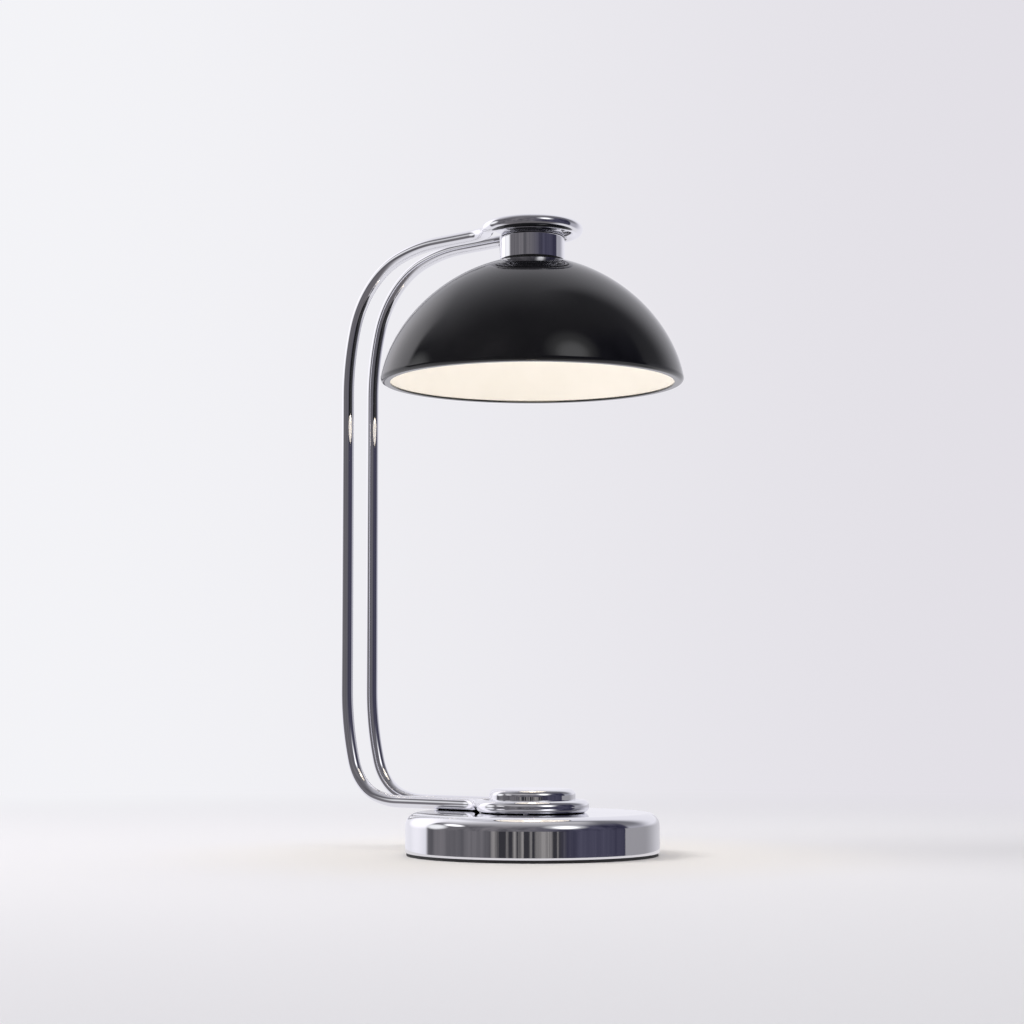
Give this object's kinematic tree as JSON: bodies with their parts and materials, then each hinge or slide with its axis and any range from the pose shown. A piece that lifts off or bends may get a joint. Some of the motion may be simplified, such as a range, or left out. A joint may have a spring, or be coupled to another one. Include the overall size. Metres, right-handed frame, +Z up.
{
  "type": "cordless table lamp",
  "caption": "Rechargeable table lamp: a black dome shade hangs from a loop of bent chrome tube over a round chrome base with a press-and-turn dimmer knob.",
  "frame": {"origin": "centre of the round base, on the surface that the lamp stands on", "axes": "+Z up, +X from the stems towards the knob, shade and base axis side, the two stems stand at -X and the lamp is symmetric about the XZ plane"},
  "size_m": [0.255, 0.19, 0.3989],
  "materials": {
    "chrome": "mirror polished chrome plate",
    "steel": "plain",
    "black_steel": "satin black",
    "black_gloss": "gloss black",
    "white_paint": "satin white",
    "rubber": "matt",
    "iron": "raw casting",
    "dark_plastic": "matt",
    "white_plastic": "matt",
    "cell_wrap": "shrink wrap",
    "circuit_board": "solder mask",
    "white_board": "white solder mask",
    "wire": "insulation",
    "brass": "turned",
    "aluminium": "machined",
    "led": "phosphor",
    "opal": "opal, lit from inside"
  },
  "bodies": {
    "base": {"front_tube": "chrome", "rear_tube": "chrome", "base_ring": "chrome", "head_ring": "chrome", "joint_sleeves": "steel", "frame_studs": "steel", "base_shell": "chrome", "bottom_plate": "black_steel", "foot_pad": "rubber", "bottom_screws": "steel", "ballast": "iron", "stud_washers": "steel", "stud_nuts": "steel", "battery_trays": "dark_plastic", "battery_cells": "cell_wrap", "control_board": "circuit_board", "charge_board": "circuit_board", "charge_socket": "steel", "encoder_body": "dark_plastic", "encoder_washer": "steel", "encoder_nut": "steel", "switch_dome": "steel", "supply_wire": "wire", "wire_grommet": "rubber", "head_plate": "chrome", "cap_nut": "chrome", "nipple": "brass", "head_cup": "chrome", "upper_spacer": "steel", "terminal_board": "circuit_board", "lower_spacer": "steel", "cup_gasket": "rubber", "shade": "black_gloss", "crown_spacer": "steel", "reflector": "white_paint", "heat_sink": "aluminium", "led_board": "white_board", "led_chips": "led", "diffuser": "opal"},
    "plunger": {"switch_plunger": "white_plastic"},
    "knob": {"dimmer_shaft": "steel", "knob_hub": "dark_plastic", "knob_shell": "chrome"}
  },
  "joints": [
    {"name": "knob_press", "type": "slide", "parent": "base", "child": "plunger", "axis": [0, 0, -1], "range_m": [0, 0.0008], "stiffness_N_per_m": 2500, "springref_m": -0.001, "deforming": ["switch_dome"]},
    {"name": "knob_turn", "type": "hinge", "parent": "plunger", "child": "knob", "pos_m": [0, 0, 0.03], "axis": [0, 0, 1], "continuous": true}
  ]
}
